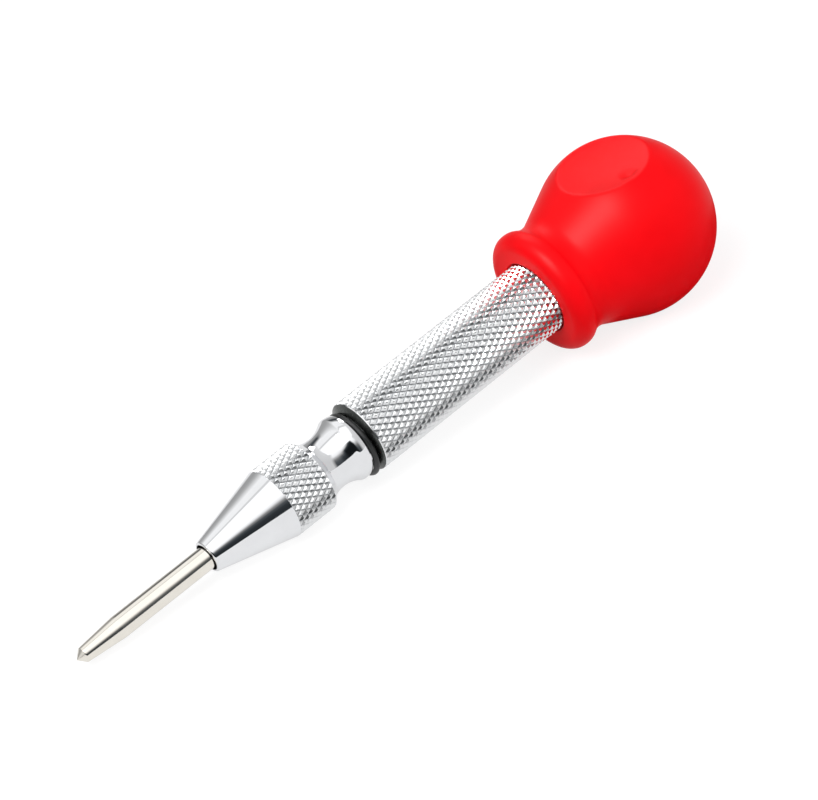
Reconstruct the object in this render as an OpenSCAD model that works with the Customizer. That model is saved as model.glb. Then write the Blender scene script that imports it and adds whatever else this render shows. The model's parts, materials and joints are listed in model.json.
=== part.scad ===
// Automatic center punch with a palm cap, lying on a table.
// Every piece is drawn upright with the punch's tip at the bottom, and then laid down together with the others.
// The tool rests on the front edge of the knurled nose and on the rim of the cap's lower dish.

/* [Punch] */
// Length of the punch outside the nose
punch_reach = 27.4; // [20:0.1:34]
// Diameter of the shank
shank_d = 4; // [3.4:0.1:4.6]
// Diameter at the base of the point
point_d = 2.7; // [1.6:0.1:3.2]
// Included angle of the point
point_angle = 90; // [60:1:120]
// Distance from the tip to the end of the long taper
taper_end = 8.7; // [5:0.1:14]
// How far the guided part stands proud of the shank
guide_step = 0.2; // [0.1:0.05:0.4]
// How far the guided part sits back inside the lip
guide_back = 0.1; // [0.1:0.1:1]
// Length of the guide hole in the nose
guide_len = 11; // [7:0.5:13]
// How far the collar stands proud of the guided part
collar_step = 0.9; // [0.6:0.1:1.2]
// Length of the collar
collar_len = 2.6; // [1.5:0.1:4]
// Length of the stem behind the collar
stem_len = 5; // [3:0.5:7]
// Diameter of the stem behind the collar
stem_d = 3.2; // [2.4:0.1:4]

/* [Nose] */
// Wall of the lip round the guide hole
lip_wall = 0.55; // [0.4:0.05:1.2]
// Rounding of the lip
lip_round = 0.4; // [0.1:0.05:0.4]
// Length of the smooth cone
cone_len = 14.5; // [10:0.5:18]
// Diameter over the knurled band
band_d = 12.9; // [12:0.1:13]
// Length of the knurled band
band_len = 7.7; // [5:0.1:12]
// Diameter of the neck at its waist
neck_d = 9.44; // [9:0.02:10.5]
// Radius of the hollow round the neck
neck_round = 6; // [4:0.5:9]
// Distance from the knurled band to the waist of the neck
neck_back = 3.6; // [2.4:0.1:4]
// Diameter of the rim behind the neck
rim_d = 11.8; // [11:0.1:12.6]
// Distance from the waist of the neck to the back of the rim
rim_back = 5.1; // [4.4:0.1:8]
// Wall of the threaded spigot
spigot_wall = 1.2; // [0.9:0.1:1.3]
// Length of the threaded spigot inside the barrel
spigot_len = 6.2; // [4:0.1:10]

/* [Barrel] */
// Diameter over the knurl
barrel_d = 13; // [12.8:0.1:15]
// Length of the barrel
barrel_len = 59.2; // [56:0.1:70]
// Width of the smooth land between the front chamfer and the knurl
land_len = 0.2; // [0.1:0.1:2]
// How far the land lies below the knurl
land_drop = 0.1; // [0.05:0.05:0.3]
// How far the plain tail lies below the knurl
tail_drop = 0.2; // [0.1:0.05:0.4]
// Length of the chamfer at both ends of the barrel
barrel_chamfer = 0.7; // [0.2:0.1:0.9]
// How far the front chamfer reaches in towards the bore
front_drop = 1.2; // [0.6:0.1:1.4]
// Thickness of the seal ring between the nose and the barrel
ring_w = 1; // [0.8:0.1:1.2]
// How much wider the ring's groove is than the ring
groove_slack = 0.5; // [0.3:0.1:0.8]
// How far the loose seal ring hangs down
ring_sag = 0.5; // [0.1:0.05:0.5]

/* [Trip mechanism] */
// Stroke of the punch before the hammer is let go
stroke = 8; // [5:0.5:9]
// Diameter of the trip pin's upper stem
trip_d = 2.4; // [2:0.1:2.6]
// How far the trip pin stands to one side at rest
trip_shift = 0.6; // [0.4:0.05:0.7]
// Thickness of the trip pin's foot
trip_foot = 1.5; // [1:0.1:2.5]
// Length of the guide bush
bush_len = 5.2; // [4:0.1:7]
// Step in the bore that stops the guide bush
bush_step = 0.3; // [0.2:0.05:0.5]
// Length of the hammer's striking cylinder
hammer_len = 14; // [10:0.5:15]
// Depth of the hole in the hammer's face
hammer_hole = 6; // [4:0.5:7]
// Length of the spring guides on the hammer and the spring seat
spring_guide = 3; // [2:0.5:4]
// Wire of the return spring
return_wire = 0.5; // [0.4:0.05:0.5]
// Working turns of the return spring
return_turns = 6; // [4:1:8]
// Wire of the main spring
main_wire = 1.2; // [0.8:0.1:1.2]
// Working turns of the main spring
main_turns = 7; // [5:1:8]

/* [Tension adjuster] */
// Length of the thread in the barrel's tail
thread_len = 9; // [7:0.5:12]
// How far the adjuster's thread stands outside the hammer's bore
thread_step = 0.8; // [0.5:0.1:1]
// Thickness of the spring seat
seat_t = 1.5; // [1:0.1:3]
// Width across the flats of the adjuster's head
head_af = 10; // [8:0.5:12]
// Length of the adjuster's head
head_len = 7.7; // [5:0.1:10]

/* [Palm cap] */
// How far the cap reaches over the barrel
cap_cover = 19; // [14:0.5:24]
// Diameter of the ball
ball_d = 30.5; // [29:0.1:34]
// Distance from the cap's front face to the front of the ball
ball_back = 5.75; // [5:0.05:8]
// Diameter over the front bead
bead_d = 22.5; // [21.6:0.1:23]
// Rounding of the front bead
bead_round = 2.25; // [1.5:0.05:2.4]
// Straight length on the front bead
bead_land = 0.3; // [0.2:0.1:1.2]
// Diameter of the waist between the bead and the ball
waist_d = 20.5; // [19.6:0.1:20.8]
// Radius of the hollow round the waist
waist_round = 4; // [2:0.1:5]
// Diameter of the dishes on two sides of the ball
dish_d = 16; // [12:0.5:17]
// Depth of the dishes below their rim
dish_depth = 0.8; // [0.2:0.1:1.5]

/* [Clearances] */
// Radial gap of a running fit
run_gap = 0.05; // [0.02:0.01:0.1]
// Radial gap round the hammer and the spring seat
bore_gap = 0.1; // [0.05:0.01:0.2]
// Radial gap between the chamber and the punch's collar
chamber_gap = 0.2; // [0.1:0.05:0.3]
// Gap between faces that meet at rest
face_gap = 0.05; // [0.02:0.01:0.1]
// Gap between a spring's coil and the piece beside it
coil_gap = 0.1; // [0.05:0.01:0.15]
// Radial gap between the cap's mouth and the barrel
mouth_gap = 0.2; // [0.1:0.05:0.4]
// Gap behind the barrel inside the cap
tail_gap = 0.3; // [0.2:0.1:0.6]
// Gap between the end of the knurl and the cap's front face
knurl_gap = 0.4; // [0.2:0.1:1]
// How closely the end turns of a spring lie, as a share of its wire
closed_pitch = 1.1; // [1.05:0.05:1.2]

/* [Fineness] */
// Sides of a spring's wire
wire_sides = 10; // [8:1:12]
// Steps in each turn of a spring
coil_steps = 24; // [18:1:28]

/* [Hidden] */
$fn = 96;

// Radii, from the axis outwards
shank_r = shank_d / 2;
point_r = point_d / 2;
point_len = point_r / tan(point_angle / 2);
guide_r = shank_r + guide_step;
guide_hole_r = guide_r + run_gap;
lip_r = guide_hole_r + lip_wall;
collar_r = guide_r + collar_step;
chamber_r = collar_r + chamber_gap;
band_r = band_d / 2;
neck_r = neck_d / 2;
rim_r = rim_d / 2;
spigot_r = chamber_r + spigot_wall;
front_bore_r = spigot_r + run_gap;
bore_r = front_bore_r - bush_step;
barrel_r = barrel_d / 2;
trip_r = trip_d / 2;
trip_body_r = trip_r + trip_shift;
bush_hole_r = trip_body_r + run_gap;
trip_foot_r = chamber_r - trip_shift - coil_gap;
hammer_r = bore_r - bore_gap;
hammer_hole_r = trip_r + bore_gap;
main_coil_r = hammer_r - coil_gap - main_wire / 2;
main_guide_r = main_coil_r - main_wire / 2 - 2 * coil_gap;
thread_bore_r = bore_r + thread_step;
thread_r = thread_bore_r - run_gap;
ball_r = ball_d / 2;

// Places along the axis, from the tip backwards
band_z = punch_reach + cone_len;
band_end_z = band_z + band_len;
neck_z = band_end_z + neck_back;
rim_end_z = neck_z + rim_back;
barrel_z = rim_end_z + ring_w + groove_slack;
barrel_end_z = barrel_z + barrel_len;
seat_z = punch_reach + guide_len;
collar_end_z = seat_z + face_gap + collar_len;
trip_z = collar_end_z + stem_len + face_gap;
trip_foot_z = trip_z + trip_foot;
bush_z = barrel_z + spigot_len;
bush_end_z = bush_z + bush_len;
trip_end_z = bush_end_z + face_gap;
hammer_z = trip_end_z + face_gap;
hammer_end_z = hammer_z + hammer_len;
thread_z = barrel_end_z - thread_len;
seat_face_z = thread_z - seat_t;
cap_z = barrel_end_z - cap_cover;
knurl_end_z = cap_z - knurl_gap;
head_z = barrel_end_z + tail_gap;
head_end_z = head_z + head_len;
ball_z = cap_z + ball_back + ball_r;

// Palm cap outline: bead, hollow waist and straight flank, each tangent to the next
bead_c_r = bead_d / 2 - bead_round;
bead_c1_z = cap_z + bead_round;
bead_c2_z = bead_c1_z + bead_land;
waist_c_r = waist_d / 2 + waist_round;
waist_c_z = bead_c2_z + sqrt((bead_round + waist_round) ^ 2 - (waist_c_r - bead_c_r) ^ 2);
flank_span = norm([waist_c_r, ball_z - waist_c_z]);
flank_turn = atan2(ball_z - waist_c_z, -waist_c_r) + acos((waist_round + ball_r) / flank_span);
flank_dir = [cos(flank_turn), sin(flank_turn)];
flank_start = [waist_c_r, waist_c_z] + waist_round * flank_dir;
flank_end = [0, ball_z] - ball_r * flank_dir;

// Dishes: a large sphere cuts each one, down to its depth below the rim
dish_r = dish_d / 2;
dish_rim = sqrt(ball_r ^ 2 - dish_r ^ 2);
dish_ball_r = (dish_r ^ 2 + dish_depth ^ 2) / (2 * dish_depth);

// Resting pose: the nose's front edge and the dish's rim both touch the table
lie_angle = atan2(dish_rim - band_r, ball_z - dish_r - band_z);
lie_lift = band_r * cos(lie_angle) - band_z * sin(lie_angle);
lie_mid = (ball_z * cos(lie_angle) + ball_r) / 2;

module lie() {
    translate([-lie_mid, 0, lie_lift])
        rotate([0, 90 - lie_angle, 0])
            children();
}

// A ring of material between two radii
module ring(inner_r, outer_r, z0, z1) {
    rotate_extrude()
        translate([inner_r, z0])
            square([outer_r - inner_r, z1 - z0]);
}

// Height along a coil from 0 to 1: one closed turn at each end, working turns between
function coil_rise(u, turns, dead) =
    let (t = u * (turns + 2))
    t < 1 ? t * dead
    : t > turns + 1 ? 1 - (turns + 2 - t) * dead
    : dead + (1 - 2 * dead) * (t - 1) / turns;

// A coil spring between two heights, from one mean radius and side shift to another
module coil(wire, turns, z0, z1, r0, r1, shift0, shift1) {
    wire_r = wire / 2;
    span = z1 - z0 - wire;
    dead = closed_pitch * wire / span;
    rings = (turns + 2) * coil_steps;
    points = [for (i = [0:rings])
              let (u = i / rings,
                   rise = coil_rise(u, turns, dead),
                   mean_r = r0 + (r1 - r0) * rise,
                   shift = shift0 + (shift1 - shift0) * rise,
                   z = z0 + wire_r + span * rise,
                   turn = 360 * i / coil_steps)
              for (k = [0:wire_sides - 1])
              let (a = 360 * k / wire_sides, r = mean_r + wire_r * cos(a))
              [r * cos(turn), r * sin(turn) + shift, z + wire_r * sin(a)]];
    sleeve = [for (i = [0:rings - 1], k = [0:wire_sides - 1])
              let (a = i * wire_sides + k, b = i * wire_sides + (k + 1) % wire_sides)
              each [[a, a + wire_sides, b], [b, a + wire_sides, b + wire_sides]]];
    start = [[for (k = [0:wire_sides - 1]) k]];
    end = [[for (k = [wire_sides - 1:-1:0]) rings * wire_sides + k]];
    polyhedron(points, concat(start, sleeve, end), convexity = 10);
}

// Hardened punch: point, long taper, shank, guided part, collar and stem
module punch() {
    color("#b5ab9c")
        lie()
            rotate_extrude()
                polygon([[0, 0],
                         [point_r, point_len],
                         [shank_r, taper_end],
                         [shank_r, punch_reach + guide_back],
                         [guide_r, punch_reach + guide_back],
                         [guide_r, seat_z + face_gap],
                         [collar_r, seat_z + face_gap],
                         [collar_r, collar_end_z],
                         [stem_d / 2, collar_end_z],
                         [stem_d / 2, collar_end_z + stem_len],
                         [0, collar_end_z + stem_len]]);
}

// Outline of the nose: lip, cone and knurled band, then the hollow neck, its rim and the spigot
module nose_outline() {
    translate([lip_r - lip_round, punch_reach + lip_round])
        circle(lip_round);
    polygon([[0, punch_reach],
             [lip_r - lip_round, punch_reach],
             [lip_r, punch_reach + lip_round],
             [band_r, band_z],
             [band_r, band_end_z],
             [neck_r, band_end_z + band_r - neck_r],
             [0, band_end_z + band_r - neck_r]]);
    difference() {
        translate([0, band_end_z])
            square([rim_r, rim_end_z - band_end_z]);
        translate([neck_r + neck_round, neck_z])
            circle(neck_round);
    }
    translate([0, band_end_z])
        square([spigot_r, bush_z - band_end_z]);
}

// Turned nose, with the guide hole in front and the chamber behind it
module nose_piece() {
    color("#c9ccd1")
        lie()
            rotate_extrude()
                difference() {
                    nose_outline();
                    square([guide_hole_r, bush_z]);
                    translate([0, seat_z])
                        square([chamber_r, bush_z]);
                }
}

// Loose rubber ring between the nose's rim and the barrel, hanging on the spigot
module seal_ring() {
    color("#26282b")
        lie()
            translate([ring_sag, 0, (rim_end_z + barrel_z) / 2])
                rotate_extrude()
                    translate([spigot_r + run_gap + ring_w / 2 + ring_sag, 0])
                        circle(ring_w / 2);
}

// Knurled barrel: threaded front, hammer bore and threaded tail
module barrel() {
    land_r = barrel_r - land_drop;
    tail_r = barrel_r - tail_drop;
    knurl_z = barrel_z + barrel_chamfer + land_len;
    color("#b9bcc2")
        lie()
            rotate_extrude()
                polygon([[front_bore_r, barrel_z],
                         [land_r - front_drop, barrel_z],
                         [land_r, barrel_z + barrel_chamfer],
                         [land_r, knurl_z],
                         [barrel_r, knurl_z],
                         [barrel_r, knurl_end_z],
                         [tail_r, knurl_end_z],
                         [tail_r, barrel_end_z - barrel_chamfer],
                         [tail_r - barrel_chamfer, barrel_end_z],
                         [thread_bore_r, barrel_end_z],
                         [thread_bore_r, thread_z],
                         [bore_r, thread_z],
                         [bore_r, bush_end_z],
                         [front_bore_r, bush_end_z]]);
}

// Light cone-shaped spring that pushes the trip pin and the punch back out
module return_spring() {
    low_r = trip_body_r + coil_gap + return_wire / 2;
    high_r = chamber_r - coil_gap - return_wire / 2;
    color("#8d9298")
        lie()
            coil(return_wire, return_turns, trip_foot_z + face_gap, bush_z - face_gap,
                 low_r, high_r, trip_shift, 0);
}

// Guide bush: the edge of its hole centres the trip pin as it rises
module trip_bush() {
    color("#9a9ea4")
        lie()
            ring(bush_hole_r, spigot_r, bush_z, bush_end_z);
}

// Trip pin, standing to one side at rest; its taper is as long as the stroke
module trip_pin() {
    color("#a3a7ad")
        lie()
            translate([0, trip_shift, 0])
                rotate_extrude()
                    polygon([[0, trip_z],
                             [trip_foot_r, trip_z],
                             [trip_foot_r, trip_foot_z],
                             [trip_body_r, trip_foot_z],
                             [trip_body_r, bush_z - stroke],
                             [trip_r, bush_z],
                             [trip_r, trip_end_z],
                             [0, trip_end_z]]);
}

// Hammer, with the hole that swallows the trip pin and a guide for the main spring
module hammer() {
    color("#94989e")
        lie()
            rotate_extrude()
                polygon([[hammer_hole_r, hammer_z],
                         [hammer_r, hammer_z],
                         [hammer_r, hammer_end_z],
                         [main_guide_r, hammer_end_z],
                         [main_guide_r, hammer_end_z + spring_guide],
                         [0, hammer_end_z + spring_guide],
                         [0, hammer_z + hammer_hole],
                         [hammer_hole_r, hammer_z + hammer_hole]]);
}

// Main spring that drives the hammer
module main_spring() {
    color("#7f848a")
        lie()
            coil(main_wire, main_turns, hammer_end_z + face_gap, seat_face_z - face_gap,
                 main_coil_r, main_coil_r, 0, 0);
}

// Spring seat: follows the adjuster along the bore without turning
module spring_seat() {
    color("#a9adb3")
        lie()
            rotate_extrude()
                polygon([[0, seat_face_z - spring_guide],
                         [main_guide_r, seat_face_z - spring_guide],
                         [main_guide_r, seat_face_z],
                         [hammer_r, seat_face_z],
                         [hammer_r, thread_z],
                         [0, thread_z]]);
}

// Tension screw: thread in the barrel's tail and a six-sided head that the cap grips
module tension_screw() {
    color("#9fa3a9")
        lie()
            union() {
                ring(0, thread_r, thread_z + face_gap, head_z);
                translate([0, 0, head_z])
                    cylinder(h = head_len, d = head_af / cos(30), $fn = 6);
            }
}

// Outline of the palm cap ahead of the ball: bead, hollow waist and flank
module cap_front() {
    difference() {
        polygon([[0, cap_z],
                 [bead_c_r, cap_z],
                 [bead_c_r, bead_c2_z],
                 [waist_c_r, waist_c_z],
                 flank_start,
                 flank_end,
                 [0, flank_end.y]]);
        translate([waist_c_r, waist_c_z])
            circle(waist_round);
    }
    translate([bead_c_r, bead_c1_z])
        circle(bead_round);
    translate([bead_c_r, bead_c2_z])
        circle(bead_round);
    translate([bead_c_r, bead_c1_z])
        square([bead_round, bead_land]);
}

// Moulded palm cap: a waisted ball with two dishes, fitted over the barrel's tail
module palm_cap() {
    color("#e8141c")
        lie()
            difference() {
                rotate([0, 0, 90])
                    union() {
                        rotate_extrude()
                            cap_front();
                        translate([0, 0, ball_z])
                            sphere(ball_r);
                    }
                ring(0, barrel_r + mouth_gap, 0, head_z);
                translate([0, 0, head_z])
                    cylinder(h = head_len, d = head_af / cos(30), $fn = 6);
                for (side = [0, 180])
                    rotate([0, 0, side])
                        translate([dish_rim - dish_depth + dish_ball_r, 0, ball_z])
                            sphere(dish_ball_r);
            }
}

punch();
nose_piece();
seal_ring();
barrel();
return_spring();
trip_bush();
trip_pin();
hammer();
main_spring();
spring_seat();
tension_screw();
palm_cap();
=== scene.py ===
import json
import math

import bmesh
import bpy
from mathutils import Matrix, Vector


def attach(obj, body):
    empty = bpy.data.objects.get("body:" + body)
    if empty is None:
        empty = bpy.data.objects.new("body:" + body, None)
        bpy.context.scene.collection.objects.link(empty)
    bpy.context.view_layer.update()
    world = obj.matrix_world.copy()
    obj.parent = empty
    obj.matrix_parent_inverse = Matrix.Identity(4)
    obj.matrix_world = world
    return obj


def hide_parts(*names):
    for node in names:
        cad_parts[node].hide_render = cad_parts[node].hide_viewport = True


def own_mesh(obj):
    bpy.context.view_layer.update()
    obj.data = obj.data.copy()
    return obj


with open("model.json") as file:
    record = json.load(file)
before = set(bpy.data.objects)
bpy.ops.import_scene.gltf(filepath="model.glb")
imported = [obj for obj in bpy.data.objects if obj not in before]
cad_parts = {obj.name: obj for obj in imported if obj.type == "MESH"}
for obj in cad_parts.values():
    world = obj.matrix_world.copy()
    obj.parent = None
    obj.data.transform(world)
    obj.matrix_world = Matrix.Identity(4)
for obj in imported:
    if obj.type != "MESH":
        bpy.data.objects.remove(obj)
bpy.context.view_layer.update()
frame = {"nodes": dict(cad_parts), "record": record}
print("frame loaded with", len(frame["nodes"]), "CAD nodes")

# The tool's own axes, in millimetres: x down, y across, z from the tip to the cap
places = {m["name"]: m for m in frame["record"]["mounts"]}
tip = Vector(places["point"]["pos_m"])
along = -Vector(places["point"]["axis"]).normalized()
across = Vector((0, 1, 0))
down = across.cross(along).normalized()
axes = Matrix((down, across, along)).transposed().to_4x4()
toolFrame = Matrix.Translation(tip) @ axes @ Matrix.Scale(0.001, 4)
leanAngle = math.asin(along.z)  # how steeply the tool lies


def hexColour(code):
    parts = [int(code[i:i + 2], 16) / 255 for i in (1, 3, 5)]
    linear = [p / 12.92 if p <= 0.04045 else ((p + 0.055) / 1.055) ** 2.4 for p in parts]
    return (*linear, 1)


def addNode(tree, kind, sockets=None, to=None, **options):
    # Adds a node, sets its options, fills or links its inputs, and may feed its output to a socket
    node = tree.nodes.new(kind)
    for key, value in options.items():
        setattr(node, key, value)
    for key, value in (sockets or {}).items():
        if isinstance(value, bpy.types.Node):
            value = next(o for o in value.outputs if o.enabled)
        if isinstance(value, bpy.types.NodeSocket):
            tree.links.new(value, node.inputs[key])
        else:
            node.inputs[key].default_value = value
    if to is not None:
        tree.links.new(next(o for o in node.outputs if o.enabled), to)
    return node


def newMaterial(name, base, metallic, roughness):
    material = bpy.data.materials.new(name)
    material.use_nodes = True
    tree = material.node_tree
    shader = tree.nodes["Principled BSDF"]
    shader.inputs["Base Color"].default_value = hexColour(base)
    shader.inputs["Metallic"].default_value = metallic
    shader.inputs["Roughness"].default_value = roughness
    return material, tree, shader.inputs


# In each look, polish is taken off the roughness, and what is called dull is added by the pattern
nickelLook = {"base": "#f6f2ea", "cloud": "#efeae0", "roughness": 0.10, "polish": 0.05, "ringDull": 0.08,
              "cloudDull": 0.04, "lineMm": 0.3, "lineStretch": 0.02, "cloudMm": 2.5, "bump": 0.04, "bumpMm": 0.05}


def nickelSteel(name, look):
    # Ground tool steel under bright nickel: a warm mirror, with fine rings left by the wheel.
    # The real rings are about 0.02 mm apart, drawn coarser so that they show.
    material, tree, shader = newMaterial(name, look["base"], 1, look["roughness"])
    place = addNode(tree, "ShaderNodeTexCoord").outputs["UV"]
    spread = addNode(tree, "ShaderNodeMapping", {
        "Vector": place, "Scale": (look["lineStretch"], 1 / look["lineMm"], 1)})
    rings = addNode(tree, "ShaderNodeTexNoise", {"Vector": spread, "Scale": 1.0, "Detail": 3},
                    noise_dimensions="2D")
    cloud = addNode(tree, "ShaderNodeTexNoise", {"Vector": place, "Scale": 1 / look["cloudMm"], "Detail": 2},
                    noise_dimensions="2D")
    addNode(tree, "ShaderNodeMix", {0: cloud, 6: hexColour(look["base"]), 7: hexColour(look["cloud"])},
            shader["Base Color"], data_type="RGBA")
    fine = addNode(tree, "ShaderNodeMath", {0: rings, 1: look["ringDull"], 2: look["roughness"] - look["polish"]},
                   operation="MULTIPLY_ADD")
    addNode(tree, "ShaderNodeMath", {0: cloud, 1: look["cloudDull"], 2: fine}, shader["Roughness"],
            operation="MULTIPLY_ADD")
    addNode(tree, "ShaderNodeBump", {"Height": rings, "Strength": look["bump"], "Distance": look["bumpMm"] / 1000},
            shader["Normal"])
    return material


chromeLook = {"base": "#f3f4f6", "haze": "#edeef0", "roughness": 0.035, "polish": 0.015, "hazeDull": 0.05,
              "hazeMm": 3.0, "lineMm": 0.5, "lineStretch": 0.03, "bump": 0.012, "bumpMm": 0.05}


def brightChrome(name, look):
    # Bright chrome plate on a turned part: a cool mirror, with a faint haze and buffing rings.
    # The real rings are finer, and are drawn coarser so that they show.
    material, tree, shader = newMaterial(name, look["base"], 1, look["roughness"])
    place = addNode(tree, "ShaderNodeTexCoord").outputs["UV"]
    haze = addNode(tree, "ShaderNodeTexNoise", {"Vector": place, "Scale": 1 / look["hazeMm"], "Detail": 4},
                   noise_dimensions="2D")
    addNode(tree, "ShaderNodeMix", {0: haze, 6: hexColour(look["base"]), 7: hexColour(look["haze"])},
            shader["Base Color"], data_type="RGBA")
    addNode(tree, "ShaderNodeMath", {0: haze, 1: look["hazeDull"], 2: look["roughness"] - look["polish"]},
            shader["Roughness"], operation="MULTIPLY_ADD")
    spread = addNode(tree, "ShaderNodeMapping", {
        "Vector": place, "Scale": (look["lineStretch"], 1 / look["lineMm"], 1)})
    rings = addNode(tree, "ShaderNodeTexNoise", {"Vector": spread, "Scale": 1.0, "Detail": 2},
                    noise_dimensions="2D")
    addNode(tree, "ShaderNodeBump", {"Height": rings, "Strength": look["bump"], "Distance": look["bumpMm"] / 1000},
            shader["Normal"])
    return material


# The knurl's groove colour is a darker grey for its grooves: painted shade
knurlLook = {"base": "#ecedee", "groove": "#aaacae", "grooveTop": 0.35, "roughness": 0.19, "grooveDull": 0.06,
             "crestPolish": 0.08, "grainDull": 0.06, "grainMm": 0.35}


def knurledChrome(name, look):
    # Chrome over a rolled knurl: crests worn smoother and grooves duller, and the grooves darker in colour, which
    # is painted shade
    material, tree, shader = newMaterial(name, look["base"], 1, look["roughness"])
    crest = addNode(tree, "ShaderNodeAttribute", attribute_name="crest").outputs["Fac"]
    place = addNode(tree, "ShaderNodeTexCoord").outputs["Object"]
    grain = addNode(tree, "ShaderNodeTexNoise", {"Vector": place, "Scale": 1000 / look["grainMm"], "Detail": 2})
    height = addNode(tree, "ShaderNodeMapRange", {"Value": crest, "From Max": look["grooveTop"]})
    # Darker towards the grooves, by the crest's height: painted shade
    addNode(tree, "ShaderNodeMix", {0: height, 6: hexColour(look["groove"]), 7: hexColour(look["base"])},
            shader["Base Color"], data_type="RGBA")
    worn = addNode(tree, "ShaderNodeMath", {
        0: crest, 1: -look["crestPolish"], 2: look["roughness"] + look["grooveDull"]}, operation="MULTIPLY_ADD")
    addNode(tree, "ShaderNodeMath", {0: grain, 1: look["grainDull"], 2: worn}, shader["Roughness"],
            operation="MULTIPLY_ADD")
    return material


rubberLook = {"base": "#121314", "bloom": "#1e2021", "roughness": 0.34, "polish": 0.1, "grainDull": 0.2,
              "gloss": 0.5, "grainMm": 0.25, "bump": 0.15, "bumpMm": 0.05}


def nitrileRubber(name, look):
    # Moulded nitrile rubber: nearly black, with a soft sheen, a fine grain and a little grey bloom
    material, tree, shader = newMaterial(name, look["base"], 0, look["roughness"])
    shader["Specular IOR Level"].default_value = look["gloss"]
    place = addNode(tree, "ShaderNodeTexCoord").outputs["Object"]
    grain = addNode(tree, "ShaderNodeTexNoise", {"Vector": place, "Scale": 1000 / look["grainMm"], "Detail": 3})
    addNode(tree, "ShaderNodeMix", {0: grain, 6: hexColour(look["base"]), 7: hexColour(look["bloom"])},
            shader["Base Color"], data_type="RGBA")
    addNode(tree, "ShaderNodeMath", {0: grain, 1: look["grainDull"], 2: look["roughness"] - look["polish"]},
            shader["Roughness"], operation="MULTIPLY_ADD")
    addNode(tree, "ShaderNodeBump", {"Height": grain, "Strength": look["bump"], "Distance": look["bumpMm"] / 1000},
            shader["Normal"])
    return material


pvcLook = {"base": "#fa0410", "deep": "#f4030d", "roughness": 0.40, "polish": 0.04, "grainDull": 0.08,
           "gloss": 0.06, "grainMm": 0.3, "cloudMm": 9.0, "cloudLow": 0.35, "cloudHigh": 0.65,
           "bump": 0.04, "bumpMm": 0.05}


def mouldedPvc(name, look):
    # Soft moulded PVC: an even red with a satin skin, faint flow clouds and the mould's fine grain.
    # The real grain is about 0.05 mm, drawn coarser so that it shows.
    material, tree, shader = newMaterial(name, look["base"], 0, look["roughness"])
    shader["Specular IOR Level"].default_value = look["gloss"]
    place = addNode(tree, "ShaderNodeTexCoord").outputs["Object"]
    cloud = addNode(tree, "ShaderNodeTexNoise", {"Vector": place, "Scale": 1000 / look["cloudMm"], "Detail": 2})
    flow = addNode(tree, "ShaderNodeMapRange", {
        "Value": cloud, "From Min": look["cloudLow"], "From Max": look["cloudHigh"]})
    addNode(tree, "ShaderNodeMix", {0: flow, 6: hexColour(look["deep"]), 7: hexColour(look["base"])},
            shader["Base Color"], data_type="RGBA")
    grain = addNode(tree, "ShaderNodeTexNoise", {"Vector": place, "Scale": 1000 / look["grainMm"], "Detail": 2})
    addNode(tree, "ShaderNodeMath", {0: grain, 1: look["grainDull"], 2: look["roughness"] - look["polish"]},
            shader["Roughness"], operation="MULTIPLY_ADD")
    addNode(tree, "ShaderNodeBump", {"Height": grain, "Strength": look["bump"], "Distance": look["bumpMm"] / 1000},
            shader["Normal"])
    return material


# Bores and the barrel's front end, both darkened with painted shade besides their oil film, then the spring wire
boreShadeLook = {"base": "#3a3b3d", "oil": "#242321", "roughness": 0.34, "polish": 0.1, "oilDull": 0.2,
            "filmMm": 0.8, "detail": 2}
endShadeLook = {"base": "#6a6d6b", "oil": "#424443", "roughness": 0.26, "polish": 0.1, "oilDull": 0.2,
           "filmMm": 0.6, "detail": 2}
wireLook = {"base": "#7d8186", "oil": "#6c6a64", "roughness": 0.27, "polish": 0.08, "oilDull": 0.16,
            "filmMm": 0.6, "detail": 3}


def oilAndShadeSteel(name, look):
    # Bare drilled or drawn steel with a film of old oil: grey, cloudy and uneven.
    # In the bores and on the barrel's front end it is dark, which is painted shade, so that gaps read as gaps.
    material, tree, shader = newMaterial(name, look["base"], 1, look["roughness"])
    place = addNode(tree, "ShaderNodeTexCoord").outputs["Object"]
    film = addNode(tree, "ShaderNodeTexNoise", {
        "Vector": place, "Scale": 1000 / look["filmMm"], "Detail": look["detail"]})
    addNode(tree, "ShaderNodeMix", {0: film, 6: hexColour(look["base"]), 7: hexColour(look["oil"])},
            shader["Base Color"], data_type="RGBA")
    addNode(tree, "ShaderNodeMath", {0: film, 1: look["oilDull"], 2: look["roughness"] - look["polish"]},
            shader["Roughness"], operation="MULTIPLY_ADD")
    return material


turnedLooks = {
    "hammer": {"base": "#85888c", "ring": "#7a7d81", "roughness": 0.30, "lineMm": 0.35},
    "trip_pin": {"base": "#a4a7ab", "ring": "#999ca0", "roughness": 0.20, "lineMm": 0.25},
    "trip_bush": {"base": "#969a9f", "ring": "#8b8f94", "roughness": 0.28, "lineMm": 0.30},
    "spring_seat": {"base": "#9b9fa4", "ring": "#909499", "roughness": 0.26, "lineMm": 0.30},
    "tension_screw": {"base": "#8f9398", "ring": "#83878c", "roughness": 0.30, "lineMm": 0.40},
}
# Shared by all of them; a Wave Texture of scale 1 repeats every 314 mm
turnedSkin = {"polish": 0.05, "ringDull": 0.10, "waver": 0.6, "waveMm": 314, "bump": 0.10, "bumpMm": 0.03}


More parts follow.
